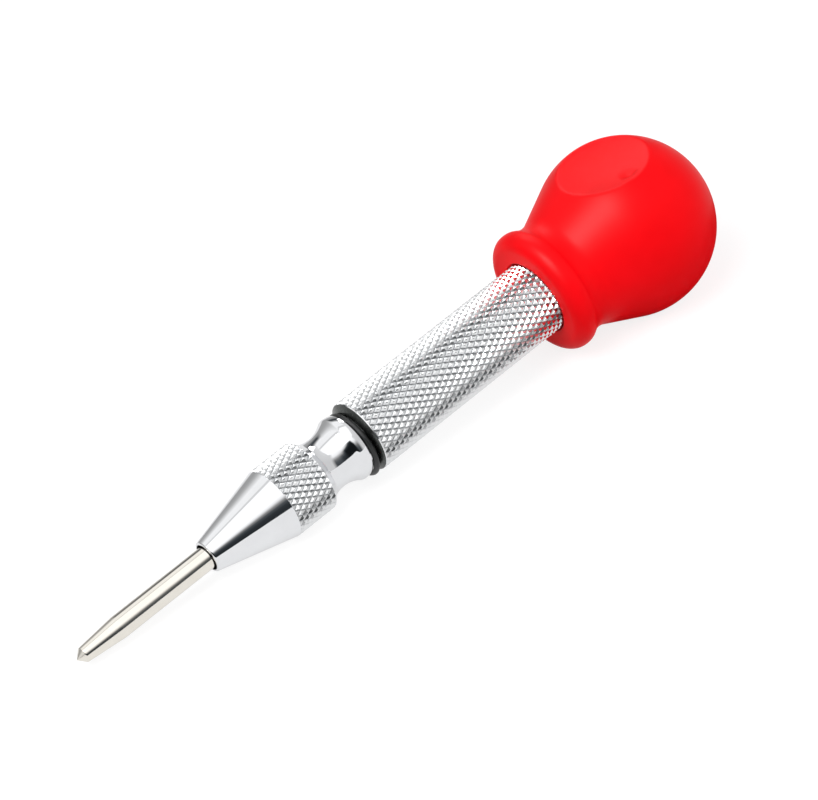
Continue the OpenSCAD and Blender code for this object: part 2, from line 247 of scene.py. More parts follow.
def turnedSteel(name, look, skin):
    # Hardened steel from the lathe: grey, with tool rings across the tool's axis
    material, tree, shader = newMaterial(name, look["base"], 1, look["roughness"])
    place = addNode(tree, "ShaderNodeTexCoord").outputs["Object"]
    upright = addNode(tree, "ShaderNodeMapping", {"Vector": place, "Rotation": (0, leanAngle - math.pi / 2, 0)})
    rings = addNode(tree, "ShaderNodeTexWave", {
        "Vector": upright, "Scale": skin["waveMm"] / look["lineMm"], "Distortion": skin["waver"], "Detail": 2},
        wave_type="BANDS", bands_direction="Z").outputs["Fac"]
    addNode(tree, "ShaderNodeMix", {0: rings, 6: hexColour(look["base"]), 7: hexColour(look["ring"])},
            shader["Base Color"], data_type="RGBA")
    addNode(tree, "ShaderNodeMath", {0: rings, 1: skin["ringDull"], 2: look["roughness"] - skin["polish"]},
            shader["Roughness"], operation="MULTIPLY_ADD")
    addNode(tree, "ShaderNodeBump", {"Height": rings, "Strength": skin["bump"], "Distance": skin["bumpMm"] / 1000},
            shader["Normal"])
    return material


materials = {
    "punch": nickelSteel("nickelledToolSteel", nickelLook),
    "nose": brightChrome("brightChrome", chromeLook),
    "knurl": knurledChrome("knurledChrome", knurlLook),
    "ring": nitrileRubber("nitrileRubber", rubberLook),
    "cap": mouldedPvc("mouldedPvc", pvcLook),
    # The bore and end finishes carry painted shade as well as an oil film
    "bore": oilAndShadeSteel("oilAndShadeBore", boreShadeLook),
    "end": oilAndShadeSteel("oilAndShadeEnd", endShadeLook),
    "wire": oilAndShadeSteel("springWire", wireLook),
}
print("materials made:", len(materials))


def settle(mesh, name, material, body, node):
    mesh.transform(toolFrame)
    if not mesh.materials:
        mesh.materials.append(material)
    piece = bpy.data.objects.new(name, mesh)
    bpy.context.scene.collection.objects.link(piece)
    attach(piece, body)
    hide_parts(node)
    print(name, "has", len(mesh.polygons), "faces")
    return piece


def softOutline(corners, closed, arcSteps=6, support=0.06, shortest=0.36):
    # Rounds each (radius, height, rounding) corner, and adds a point near both ends of a straight run
    count = len(corners)
    points = []
    for i, (r, z, rounding) in enumerate(corners):
        here = Vector((r, z))
        if not rounding or (not closed and i in (0, count - 1)):
            points.append(here)
            continue
        before = (Vector(corners[i - 1][:2]) - here).normalized()
        after = (Vector(corners[(i + 1) % count][:2]) - here).normalized()
        half = before.angle(after) / 2
        middle = here + (before + after).normalized() * (rounding / math.sin(half))
        start = here + before * (rounding / math.tan(half)) - middle
        turn = start.angle_signed(here + after * (rounding / math.tan(half)) - middle)
        for k in range(arcSteps + 1):
            points.append(middle + Matrix.Rotation(-turn * k / arcSteps, 2) @ start)
    outline = []
    for i, here in enumerate(points):
        outline.append(here)
        if not closed and i == len(points) - 1:
            break
        ahead = points[(i + 1) % len(points)]
        gap = ahead - here
        if gap.length > shortest:
            outline.append(here + gap.normalized() * support)
            outline.append(ahead - gap.normalized() * support)
    return [(max(p.x, 0), p.y) for p in outline]


def turnMesh(name, outline, closed, sides=192, sharpDeg=40):
    # Spins an outline of (radius, height) round the axis, with a UV map in millimetres
    bm = bmesh.new()
    rings = []
    for r, z in outline:
        if r < 1e-6:
            rings.append([bm.verts.new((0, 0, z))] * sides)
        else:
            rings.append([bm.verts.new((r * math.cos(2 * math.pi * k / sides),
                                        r * math.sin(2 * math.pi * k / sides), z)) for k in range(sides)])
    runs = [0.0]
    for (r0, z0), (r1, z1) in zip(outline, outline[1:] + outline[:1]):
        runs.append(runs[-1] + math.hypot(r1 - r0, z1 - z0))
    girth = 2 * math.pi * max(r for r, z in outline)
    uvLayer = bm.loops.layers.uv.new("turned")
    last = len(rings) if closed else len(rings) - 1
    for j in range(last):
        low, high = rings[j], rings[(j + 1) % len(rings)]
        for k in range(sides):
            n = (k + 1) % sides
            corners = [(low[k], k, j), (low[n], k + 1, j), (high[n], k + 1, j + 1), (high[k], k, j + 1)]
            unique = []
            for corner in corners:
                if corner[0] not in [u[0] for u in unique]:
                    unique.append(corner)
            face = bm.faces.new([u[0] for u in unique])
            face.smooth = True
            for loop, (_, turn, row) in zip(face.loops, unique):
                loop[uvLayer].uv = (girth * turn / sides, runs[row])
    bmesh.ops.recalc_face_normals(bm, faces=bm.faces)
    mesh = bpy.data.meshes.new(name)
    bm.to_mesh(mesh)
    bm.free()
    mesh.set_sharp_from_angle(angle=math.radians(sharpDeg))
    return mesh


def bareShadedBores(mesh, finishes, inward=0.1, forward=0.3):
    # The bores aren't plated: faces that look towards the axis take the second finish, a bare end the third; both
    # are darkened with painted shade
    for finish in finishes:
        mesh.materials.append(finish)
    for face in mesh.polygons:
        if face.normal.x * face.center.x + face.normal.y * face.center.y < -inward:
            face.material_index = 1
        elif face.normal.z < -forward and len(finishes) == 3:
            face.material_index = 2
    return mesh


# Punch: ground point, long taper, shank, then the guided part, collar and stem inside the nose
punchShape = {
    "corners": [(0, 0, 0), (1.35, 1.35, 0.25), (2.0, 8.7, 6.0), (2.0, 30.4, 0.05), (2.2, 30.6, 0.05),
                (2.2, 38.45, 0.1), (3.1, 38.45, 0.1), (3.1, 41.05, 0.1), (1.6, 41.05, 0.1),
                (1.6, 46.05, 0.1), (0, 46.05, 0)],
    "sides": 144,
}
mesh = turnMesh("steelPunch", softOutline(punchShape["corners"], False), False, punchShape["sides"])
settle(mesh, "steelPunch", materials["punch"], "punch", "punch")

# Nose: lip with a countersunk mouth, cone, bed of the knurled band, 45 degree chamfer, hollow neck,
# swelling rim, spigot, then the chamber
noseShape = {
    "holeR": 2.25, "mouthR": 2.38, "mouthZ": 27.8, "lipR": 2.8, "lipZ": 27.4, "bandR": 6.45, "bandZ": 41.9,
    "bandEndZ": 49.6, "bedR": 6.0, "neckR": 4.72, "neckZ": 53.2, "neckRound": 6.0, "hollowZ": 50.87,
    "rimR": 5.9, "rimRound": 1.04, "rimFall": 4.0, "rimZ": 58.3,
    "spigotR": 4.5, "spigotZ": 66.0, "chamberR": 3.3, "seatZ": 38.4,
    "bandInset": 0.04, "edgeRound": 0.06, "lipRound": 0.34, "spigotFoot": 0.05, "spigotEdge": 0.2,
    "chamberEdge": 0.1,
}


def neckCurve(shape, steps=20, rimSteps=8):
    # The hollow, a tight arc up to the rim's crest, and a flatter one down behind it
    hollowR = shape["neckR"] + shape["neckRound"]
    reach = shape["neckRound"] + shape["rimRound"]
    crestZ = shape["neckZ"] + math.sqrt(reach ** 2 - (hollowR - shape["rimR"] + shape["rimRound"]) ** 2)
    meetZ = shape["neckZ"] + (crestZ - shape["neckZ"]) * shape["neckRound"] / reach
    curve = []
    for k in range(steps + 1):
        z = shape["hollowZ"] + (meetZ - shape["hollowZ"]) * k / steps
        curve.append((hollowR - math.sqrt(shape["neckRound"] ** 2 - (z - shape["neckZ"]) ** 2), z, 0))
    for startZ, endZ, bend in ((meetZ, crestZ, shape["rimRound"]), (crestZ, shape["rimZ"], shape["rimFall"])):
        for k in range(1, rimSteps + 1):
            z = startZ + (endZ - startZ) * k / rimSteps
            curve.append((shape["rimR"] - bend + math.sqrt(bend ** 2 - (z - crestZ) ** 2), z, 0))
    return curve


n = noseShape
noseCorners = [
    (n["holeR"], n["mouthZ"], 0), (n["mouthR"], n["lipZ"], n["edgeRound"]), (n["lipR"], n["lipZ"], n["lipRound"]),
    (n["bandR"] - n["bandInset"], n["bandZ"], n["edgeRound"]), (n["bedR"], n["bandZ"], 0),
    (n["bedR"], n["bandEndZ"], 0), (n["bandR"] - n["bandInset"], n["bandEndZ"], n["edgeRound"]), *neckCurve(n),
    (n["spigotR"], n["rimZ"], n["spigotFoot"]), (n["spigotR"], n["spigotZ"], n["spigotEdge"]),
    (n["chamberR"], n["spigotZ"], n["chamberEdge"]), (n["chamberR"], n["seatZ"], 0), (n["holeR"], n["seatZ"], 0),
]
mesh = turnMesh("chromeNose", softOutline(noseCorners, True), True)
mesh = bareShadedBores(mesh, [materials[k] for k in ("nose", "bore")])
settle(mesh, "chromeNose", materials["nose"], "housing", "nose_piece")

# Rubber ring, loose on the spigot between the nose and the barrel, so that it hangs down a little
ringShape = {"middleR": 5.55, "middleZ": 59.05, "half": 0.495, "sag": 0.5, "steps": 28, "sides": 128}
outline = []
for k in range(ringShape["steps"]):
    a = 2 * math.pi * k / ringShape["steps"]
    outline.append((ringShape["middleR"] + ringShape["half"] * math.cos(a),
                    ringShape["middleZ"] + ringShape["half"] * math.sin(a)))
mesh = turnMesh("sealRing", outline, True, ringShape["sides"])
mesh.transform(Matrix.Translation((ringShape["sag"], 0, 0)))
settle(mesh, "sealRing", materials["ring"], "housing", "seal_ring")

# Barrel: front chamfer and land, bed of the knurl, plain tail, threaded tail bore and hammer bore
barrelShape = {
    "corners": [(4.55, 59.8, 0.1), (5.2, 59.8, 0.06), (6.4, 60.5, 0.06), (6.4, 60.7, 0), (6.0, 60.7, 0),
                (6.0, 104.0, 0), (6.3, 104.0, 0.05), (6.3, 118.3, 0.1), (5.6, 119.0, 0.05), (5.05, 119.0, 0.05),
                (5.05, 110.0, 0), (4.25, 110.0, 0), (4.25, 71.2, 0), (4.55, 71.2, 0)],
}
mesh = turnMesh("barrelTube", softOutline(barrelShape["corners"], True), True)
mesh = bareShadedBores(mesh, [materials[k] for k in ("nose", "bore", "end")])
settle(mesh, "barrelTube", materials["nose"], "housing", "barrel")
print("turned pieces made")


def treeInputs(tree, inputs):
    for label, kind in inputs:
        tree.interface.new_socket(name=label, in_out="INPUT", socket_type=kind)
    tree.interface.new_socket(name="Geometry", in_out="OUTPUT", socket_type="NodeSocketGeometry")
    return addNode(tree, "NodeGroupInput").outputs


def bakeTree(tree, name, seed, values):
    # Runs a node tree once on a seed mesh, with its named inputs, and keeps the result as a plain mesh
    holder = bpy.data.objects.new(name + "Maker", seed)
    bpy.context.scene.collection.objects.link(holder)
    modifier = holder.modifiers.new("maker", "NODES")
    modifier.node_group = tree
    for item in tree.interface.items_tree:
        if item.item_type == "SOCKET" and item.in_out == "INPUT" and item.name in values:
            modifier[item.identifier] = values[item.name]
    ready = holder.evaluated_get(bpy.context.evaluated_depsgraph_get())
    mesh = bpy.data.meshes.new_from_object(ready)
    mesh.name = name
    holder.modifiers.remove(modifier)
    bpy.data.objects.remove(holder)
    return mesh


def knurlTree():
    # Repeats a tooth in staggered rows round the axis, so that its grooves run along two crossing helices
    tree = bpy.data.node_groups.new("diamondKnurl", "GeometryNodeTree")
    given = treeInputs(tree, [
        ("Tooth", "NodeSocketGeometry"), ("Starts", "NodeSocketInt"), ("Rows", "NodeSocketInt"),
        ("Start", "NodeSocketFloat"), ("End", "NodeSocketFloat"), ("Weld", "NodeSocketFloat"),
        ("Finish", "NodeSocketMaterial")])
    count = addNode(tree, "FunctionNodeIntegerMath", {0: given["Starts"], 1: given["Rows"]}, operation="MULTIPLY")
    line = addNode(tree, "GeometryNodeMeshLine", {"Count": count, "Offset": (0, 0, 0)})
    index = addNode(tree, "GeometryNodeInputIndex")
    row = addNode(tree, "FunctionNodeIntegerMath", {0: index, 1: given["Starts"]}, operation="DIVIDE_FLOOR")
    column = addNode(tree, "FunctionNodeIntegerMath", {0: index, 1: given["Starts"]}, operation="MODULO")
    odd = addNode(tree, "FunctionNodeIntegerMath", {0: row, 1: 2}, operation="MODULO")
    halves = addNode(tree, "FunctionNodeIntegerMath", {0: column, 1: 2, 2: odd}, operation="MULTIPLY_ADD")
    halfStep = addNode(tree, "ShaderNodeMath", {0: math.pi, 1: given["Starts"]}, operation="DIVIDE")
    swing = addNode(tree, "ShaderNodeMath", {0: halves, 1: halfStep}, operation="MULTIPLY")
    lastRow = addNode(tree, "FunctionNodeIntegerMath", {0: given["Rows"], 1: 1}, operation="SUBTRACT")
    height = addNode(tree, "ShaderNodeMapRange", {
        "Value": row, "From Min": 0.0, "From Max": lastRow, "To Min": given["Start"], "To Max": given["End"]})
    spot = addNode(tree, "ShaderNodeCombineXYZ", {"Z": height})
    turn = addNode(tree, "ShaderNodeCombineXYZ", {"Z": swing})
    points = addNode(tree, "GeometryNodeSetPosition", {"Geometry": line, "Position": spot})
    teeth = addNode(tree, "GeometryNodeInstanceOnPoints", {
        "Points": points, "Instance": given["Tooth"], "Rotation": turn})
    real = addNode(tree, "GeometryNodeRealizeInstances", {0: teeth})
    position = addNode(tree, "GeometryNodeInputPosition")
    where = addNode(tree, "ShaderNodeSeparateXYZ", {0: position}).outputs
    inside = addNode(tree, "ShaderNodeClamp", {"Value": where["Z"], "Min": given["Start"], "Max": given["End"]})
    flush = addNode(tree, "ShaderNodeCombineXYZ", {"X": where["X"], "Y": where["Y"], "Z": inside})
    trimmed = addNode(tree, "GeometryNodeSetPosition", {"Geometry": real, "Position": flush})
    joined = addNode(tree, "GeometryNodeMergeByDistance", {"Geometry": trimmed, "Distance": given["Weld"]})
    painted = addNode(tree, "GeometryNodeSetMaterial", {"Geometry": joined, "Material": given["Finish"]})
    addNode(tree, "NodeGroupOutput", {0: painted})
    return tree


def toothMesh(name, knurl):
    # One four-sided tooth with a rounded crest, wrapped round the axis; crest says how high a point stands
    values = knurl["values"]
    halfStep = math.pi / values["Starts"]
    rowGap = (values["End"] - values["Start"]) / (values["Rows"] - 1)
    corners = []
    for share, rise in knurl["levels"]:
        r = knurl["crestR"] - knurl["depth"] * (1 - rise)
        for x, y in ((1, 0), (0, 1), (-1, 0), (0, -1)):
            a = x * share * halfStep
            corners.append((r * math.cos(a), r * math.sin(a), y * share * rowGap))
    faces = []
    for low in range(0, len(corners) - 4, 4):
        faces += [(low + k, low + (k + 1) % 4, low + 4 + (k + 1) % 4, low + 4 + k) for k in range(4)]
    faces.append(tuple(range(len(corners) - 4, len(corners))))
    mesh = bpy.data.meshes.new(name + "Tooth")
    mesh.from_pydata(corners, [], faces)
    crest = mesh.attributes.new("crest", "FLOAT", "POINT")
    for k in range(len(corners)):
        crest.data[k].value = knurl["levels"][k // 4][1]
    return mesh


def closeSleeve(mesh, innerR, shortest=0.001):
    # Gives the knurled skin end walls and an inner wall, so that it is a closed sleeve
    bm = bmesh.new()
    bm.from_mesh(mesh)
    bmesh.ops.dissolve_degenerate(bm, dist=shortest, edges=bm.edges)
    grown = bmesh.ops.extrude_edge_only(bm, edges=[e for e in bm.edges if e.is_boundary])["geom"]
    for vert in [g for g in grown if isinstance(g, bmesh.types.BMVert)]:
        scale = innerR / math.hypot(vert.co.x, vert.co.y)
        vert.co.x *= scale
        vert.co.y *= scale
    bmesh.ops.bridge_loops(bm, edges=[e for e in bm.edges if e.is_boundary])
    bmesh.ops.recalc_face_normals(bm, faces=bm.faces)
    for face in bm.faces:
        face.smooth = False
    bm.to_mesh(mesh)
    bm.free()
    return mesh


# Diamond knurl of the barrel and of the nose band: 34 starts each hand, crests at the CAD radius.
# A level is the tooth's share of its full width, and how high that share stands.
knurls = {
    "barrelKnurl": {"node": "barrel", "slot": "barrel_chrome", "innerR": 5.9, "crestR": 6.5, "depth": 0.37,
                    "levels": [(1, 0), (0.30, 0.86), (0.12, 1)],
                    "values": {"Starts": 34, "Rows": 45, "Start": 60.7, "End": 104.0, "Weld": 0.002}},
    "noseKnurl": {"node": "nose_piece", "slot": "nose_chrome", "innerR": 5.9, "crestR": 6.45, "depth": 0.37,
                  "levels": [(1, 0), (0.30, 0.86), (0.12, 1)],
                  "values": {"Starts": 34, "Rows": 9, "Start": 41.9, "End": 49.6, "Weld": 0.002}},
}
tree = knurlTree()
for name, knurl in knurls.items():
    mesh = bakeTree(tree, name, toothMesh(name, knurl), {**knurl["values"], "Finish": materials["knurl"]})
    settle(closeSleeve(mesh, knurl["innerR"]), name, materials["knurl"], "housing", knurl["node"])
print("knurls made")


def coilTree(endRise=1.1, wireSides=14):
    # A round wire swept along a coil with one closed turn at each end, which rises by endRise wires
    tree = bpy.data.node_groups.new("coilSpring", "GeometryNodeTree")
    given = treeInputs(tree, [
        ("Working turns", "NodeSocketInt"), ("Wire", "NodeSocketFloat"), ("Start", "NodeSocketFloat"),
        ("End", "NodeSocketFloat"), ("Start radius", "NodeSocketFloat"), ("End radius", "NodeSocketFloat"),
        ("Start shift", "NodeSocketFloat"), ("Steps a turn", "NodeSocketInt"), ("Finish", "NodeSocketMaterial")])
    lastTurn = addNode(tree, "FunctionNodeIntegerMath", {0: given["Working turns"], 1: 1}, operation="ADD")
    turns = addNode(tree, "FunctionNodeIntegerMath", {0: given["Working turns"], 1: 2}, operation="ADD")
    steps = addNode(tree, "FunctionNodeIntegerMath", {0: turns, 1: given["Steps a turn"], 2: 1},
                    operation="MULTIPLY_ADD")
    line = addNode(tree, "GeometryNodeCurvePrimitiveLine")
    fine = addNode(tree, "GeometryNodeResampleCurve", {"Curve": line, "Count": steps})
    factor = addNode(tree, "GeometryNodeSplineParameter").outputs["Factor"]
    travel = addNode(tree, "ShaderNodeMath", {0: factor, 1: turns}, operation="MULTIPLY")
    foot = addNode(tree, "ShaderNodeMath", {0: given["Wire"], 1: 0.5, 2: given["Start"]}, operation="MULTIPLY_ADD")
    closed = addNode(tree, "ShaderNodeMath", {0: given["Wire"], 1: endRise}, operation="MULTIPLY")
    length = addNode(tree, "ShaderNodeMath", {0: given["End"], 1: given["Start"]}, operation="SUBTRACT")
    working = addNode(tree, "ShaderNodeMath", {0: given["Wire"], 1: -1 - 2 * endRise, 2: length},
                      operation="MULTIPLY_ADD")
    first = addNode(tree, "ShaderNodeMapRange", {"Value": travel, "To Max": closed})
    middle = addNode(tree, "ShaderNodeMapRange", {
        "Value": travel, "From Min": 1.0, "From Max": lastTurn, "To Max": working})
    ending = addNode(tree, "ShaderNodeMapRange", {
        "Value": travel, "From Min": lastTurn, "From Max": turns, "To Max": closed})
    low = addNode(tree, "ShaderNodeMath", {0: foot, 1: first}, operation="ADD")
    high = addNode(tree, "ShaderNodeMath", {0: middle, 1: ending}, operation="ADD")
    height = addNode(tree, "ShaderNodeMath", {0: low, 1: high}, operation="ADD")
    radius = addNode(tree, "ShaderNodeMapRange", {
        "Value": height, "From Min": given["Start"], "From Max": given["End"],
        "To Min": given["Start radius"], "To Max": given["End radius"]})
    shift = addNode(tree, "ShaderNodeMapRange", {
        "Value": height, "From Min": given["Start"], "From Max": given["End"],
        "To Min": given["Start shift"], "To Max": 0.0})
    angle = addNode(tree, "ShaderNodeMath", {0: travel, 1: 2 * math.pi}, operation="MULTIPLY")
    arm = addNode(tree, "ShaderNodeCombineXYZ", {"X": radius, "Z": height})
    swung = addNode(tree, "ShaderNodeVectorRotate", {"Vector": arm, "Angle": angle}, rotation_type="Z_AXIS")
    aside = addNode(tree, "ShaderNodeCombineXYZ", {"Y": shift})
    point = addNode(tree, "ShaderNodeVectorMath", {0: swung, 1: aside}, operation="ADD")
    path = addNode(tree, "GeometryNodeSetPosition", {"Geometry": fine, "Position": point})
    half = addNode(tree, "ShaderNodeMath", {0: given["Wire"], 1: 0.5}, operation="MULTIPLY")
    wire = addNode(tree, "GeometryNodeCurvePrimitiveCircle", {"Resolution": wireSides, "Radius": half})
    swept = addNode(tree, "GeometryNodeCurveToMesh", {"Curve": path, "Profile Curve": wire, "Fill Caps": True})
    smooth = addNode(tree, "GeometryNodeSetShadeSmooth", {"Geometry": swept})
    real = addNode(tree, "GeometryNodeRealizeInstances", {0: smooth})
    painted = addNode(tree, "GeometryNodeSetMaterial", {"Geometry": real, "Material": given["Finish"]})
    addNode(tree, "NodeGroupOutput", {0: painted})
    return tree


# Springs: the return spring shortens towards the bush, the main spring towards its seat.
# The return spring's front end also moves over with the trip pin, 0.6 mm in a stroke of 8 mm.
springs = {
    "returnCoil": {
        "node": "return_spring", "joint": "punch_stroke", "anchorMm": 66.0, "keep": 0.557, "aside": -0.075,
        "values": {"Working turns": 6, "Wire": 0.5, "Start": 47.65, "End": 65.95, "Start radius": 2.15,
                   "End radius": 2.95, "Start shift": 0.6, "Steps a turn": 40}},
    "mainCoil": {
        "node": "main_spring", "joint": "hammer_lift", "anchorMm": 108.5, "keep": 0.65, "aside": 0.0,
        "values": {"Working turns": 7, "Wire": 1.2, "Start": 85.35, "End": 108.45, "Start radius": 3.45,
                   "End radius": 3.45, "Start shift": 0.0, "Steps a turn": 48}},
}
tree = coilTree()
for name, spring in springs.items():
    seed = bpy.data.meshes.new(name + "Seed")
    mesh = bakeTree(tree, name, seed, {**spring["values"], "Finish": materials["wire"]})
    piece = settle(mesh, name, materials["wire"], "housing", spring["node"])
    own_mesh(piece)
print("springs made")

# Palm cap: a ball with a dish on top and below, a straight flank, a hollow waist, a bead and the bore.
# The upper dish has a short fold beside its rim.
capShape = {
    "ballR": 15.25, "ballZ": 121.0, "seamZ": 111.0, "ringSteps": 240,
    "dishR": 8.0, "dishDepth": 0.8, "rimSoft": 0.30,
    "foldY": -6.1, "foldZ": 0.6, "foldNear": 0.8, "foldFar": 2.8, "foldLong": 1.9, "foldDepth": 0.42,
    "waistR": 10.25, "waistRound": 4.0, "beadR": 11.25, "beadRound": 2.25, "beadLand": 0.3,
    "frontZ": 100.0, "mouthRound": 0.35, "boreR": 6.7, "boreZ": 119.3, "hexFlat": 10.0, "hexZ": 127.0,
    # how finely it is cut: rings across the dish, closer together over its rim, then by the turn
    "dishRings": [0.6 + 0.3 * k for k in range(23)],
    "rimRings": [7.4, 7.55, 7.7, 7.8, 7.88, 7.95, 8.0, 8.05, 8.12, 8.2, 8.3, 8.45, 8.65, 8.9],
    "ballStep": 0.035, "flankSteps": 5, "waistSteps": 24, "beadSteps": 12, "frontSteps": 16,
    "weldMm": 0.03, "sharpDeg": 50,
}


def capCurves(shape):
    # Middles of the bead's and the waist's circles, and the flank's outward direction
    beadMiddle = shape["beadR"] - shape["beadRound"]
    waistMiddle = shape["waistR"] + shape["waistRound"]
    beadZ = shape["frontZ"] + shape["beadRound"]
    beadEndZ = beadZ + shape["beadLand"]
    reach = shape["waistRound"] + shape["beadRound"]
    waistZ = beadEndZ + math.sqrt(reach ** 2 - (waistMiddle - beadMiddle) ** 2)
    span = math.hypot(waistMiddle, shape["ballZ"] - waistZ)
    lean = math.acos((shape["ballR"] + shape["waistRound"]) / span)
    turn = math.atan2(shape["ballZ"] - waistZ, -waistMiddle) + lean
    return {"beadMiddle": beadMiddle, "waistMiddle": waistMiddle, "beadZ": beadZ, "beadEndZ": beadEndZ,
            "waistZ": waistZ, "outR": -math.cos(turn), "outZ": -math.sin(turn)}


def ballPoint(shape, turnOff, turnRound):
    # A point of the ball and flank, with the dishes and the fold pressed in
    x = math.cos(turnOff)
    y = math.sin(turnOff) * math.cos(turnRound)
    z = math.sin(turnOff) * math.sin(turnRound)
    size = shape["ballR"]
    if z < shape["outZ"]:
        size /= math.hypot(x, y) * shape["outR"] + z * shape["outZ"]
    x, y, z = x * size, y * size, z * size
    off = math.hypot(y, z)
    dishBall = (shape["dishR"] ** 2 + shape["dishDepth"] ** 2) / (2 * shape["dishDepth"])
    rim = math.sqrt(shape["ballR"] ** 2 - shape["dishR"] ** 2)
    if off < 2 * shape["dishR"]:
        floor = rim - shape["dishDepth"] + dishBall - math.sqrt(dishBall ** 2 - off ** 2)
        blend = max(shape["rimSoft"] - abs(abs(x) - floor), 0) / shape["rimSoft"]
        x = math.copysign(min(abs(x), floor) - blend * blend * shape["rimSoft"] / 4, x)
    wide = shape["foldNear"] if y < shape["foldY"] else shape["foldFar"]
    away = ((y - shape["foldY"]) / wide) ** 2 + ((z - shape["foldZ"]) / shape["foldLong"]) ** 2
    if x < 0 and away < 1:
        x += shape["foldDepth"] * (1 - away) ** 2
    return (x, y, z + shape["ballZ"])


def hexReach(shape, angle):
    return shape["hexFlat"] / 2 / math.cos(angle % (math.pi / 3) - math.pi / 6)


def capFront(shape):
    # The cap ahead of the seam: flank, waist, bead, front face, mouth and bore
    waistR, waistZ = shape["waistMiddle"], shape["waistZ"]
    waistRound, beadRound = shape["waistRound"], shape["beadRound"]
    start = Vector((waistR - waistRound * shape["outR"], waistZ - waistRound * shape["outZ"]))
    seamR = (shape["ballR"] - (shape["seamZ"] - shape["ballZ"]) * shape["outZ"]) / shape["outR"]
    seam = Vector((seamR, shape["seamZ"]))
    rows = [tuple(seam.lerp(start, k / shape["flankSteps"])) for k in range(1, shape["flankSteps"])]
    lean = math.atan2(waistZ - shape["beadEndZ"], waistR - shape["beadMiddle"])
    flankTurn = math.atan2(-shape["outZ"], -shape["outR"])
    for k in range(shape["waistSteps"] + 1):
        a = flankTurn + (lean + math.pi - flankTurn) * k / shape["waistSteps"]
        rows.append((waistR + waistRound * math.cos(a), waistZ + waistRound * math.sin(a)))
    for k in range(1, shape["beadSteps"] + 1):
        a = lean * (1 - k / shape["beadSteps"])
        rows.append((shape["beadMiddle"] + beadRound * math.cos(a), shape["beadEndZ"] + beadRound * math.sin(a)))
    for k in range(shape["frontSteps"] + 1):
        a = -math.pi / 2 * k / shape["frontSteps"]
        rows.append((shape["beadMiddle"] + beadRound * math.cos(a), shape["beadZ"] + beadRound * math.sin(a)))
    mouth = softOutline([
        (shape["beadMiddle"], shape["frontZ"], 0), (shape["boreR"], shape["frontZ"], shape["mouthRound"]),
        (shape["boreR"], shape["boreZ"], 0)], False)
    return rows + mouth[1:]


def capMesh(shape):
    bm = bmesh.new()
    turns = [math.asin(off / shape["ballR"]) for off in shape["dishRings"] + shape["rimRings"]]
    count = round((math.pi / 2 - turns[-1]) / shape["ballStep"])
    turns += [turns[-1] + (math.pi / 2 - turns[-1]) * k / count for k in range(1, count + 1)]
    turns += [math.pi - t for t in reversed(turns[:-1])]
    steps = shape["ringSteps"]
    rings = [[bm.verts.new(ballPoint(shape, t, 2 * math.pi * k / steps)) for k in range(steps)] for t in turns]
    poles = [bm.verts.new(ballPoint(shape, 0, 0)), bm.verts.new(ballPoint(shape, math.pi, 0))]
    for low, high in zip(rings, rings[1:]):
        for k in range(steps):
            bm.faces.new((low[k], low[(k + 1) % steps], high[(k + 1) % steps], high[k]))
    for pole, ring in ((poles[0], rings[0]), (poles[1], rings[-1])):
        for k in range(steps):
            bm.faces.new((pole, ring[k], ring[(k + 1) % steps]))
    everything = bm.verts[:] + bm.edges[:] + bm.faces[:]
    bmesh.ops.bisect_plane(bm, geom=everything, plane_co=(0, 0, shape["seamZ"]), plane_no=(0, 0, -1),
                           clear_outer=True)
    bmesh.ops.remove_doubles(bm, verts=bm.verts, dist=shape["weldMm"])
    edge = [e for e in bm.edges if e.is_boundary]
    before = sorted({v for e in edge for v in e.verts}, key=lambda v: math.atan2(v.co.y, v.co.x))
    angles = [math.atan2(v.co.y, v.co.x) for v in before]
    hexRows = [(None, shape["boreZ"]), (None, shape["hexZ"])]  # socket for the screw's head
    for r, z in capFront(shape) + hexRows:
        ring = []
        for a in angles:
            reach = hexReach(shape, a) if r is None else r
            ring.append(bm.verts.new((reach * math.cos(a), reach * math.sin(a), z)))
        for k in range(len(ring)):
            bm.faces.new((before[k], before[k - 1], ring[k - 1], ring[k]))
        before = ring
    bm.faces.new(before)
    bmesh.ops.recalc_face_normals(bm, faces=bm.faces)
    for face in bm.faces:
        face.smooth = True
    mesh = bpy.data.meshes.new("palmCap")
    bm.to_mesh(mesh)
    bm.free()
    mesh.set_sharp_from_angle(angle=math.radians(shape["sharpDeg"]))
    return mesh


capShape.update(capCurves(capShape))
settle(capMesh(capShape), "palmCap", materials["cap"], "tension", "palm_cap")
print("palm cap made")

for node, look in turnedLooks.items():  # inner pieces keep their CAD shape
    finish = turnedSteel(node + "Steel", look, turnedSkin)
    for place in frame["nodes"][node].material_slots:
        place.material = finish
print("inner pieces finished:", len(turnedLooks))

# Studio: white table and world, a key panel, a fill panel, and cards that only mirrors see
scene = bpy.context.scene
scene.view_settings.view_transform = "Standard"
studio = {"ambient": 0.40, "ambientColour": "#f6f7f9", "tableHalf": 3.0, "tableColour": "#c8c8c8",
          "tableFaint": "#8a8a8a", "tableGlow": 0.60, "tableGlowSeen": 0.23, "tableZ": -0.00006}
square = ((-1, -1), (1, -1), (1, 1), (-1, 1))


def seenRays(tree, path):
    # 1 for what the camera or a mirror sees, 0 for light on its way to a matt surface
    mirror = addNode(tree, "ShaderNodeMath", {0: path["Is Glossy Ray"], 1: path["Is Transmission Ray"]},
                     operation="ADD")
    return addNode(tree, "ShaderNodeMath", {0: path["Is Camera Ray"], 1: mirror}, operation="ADD", use_clamp=True)


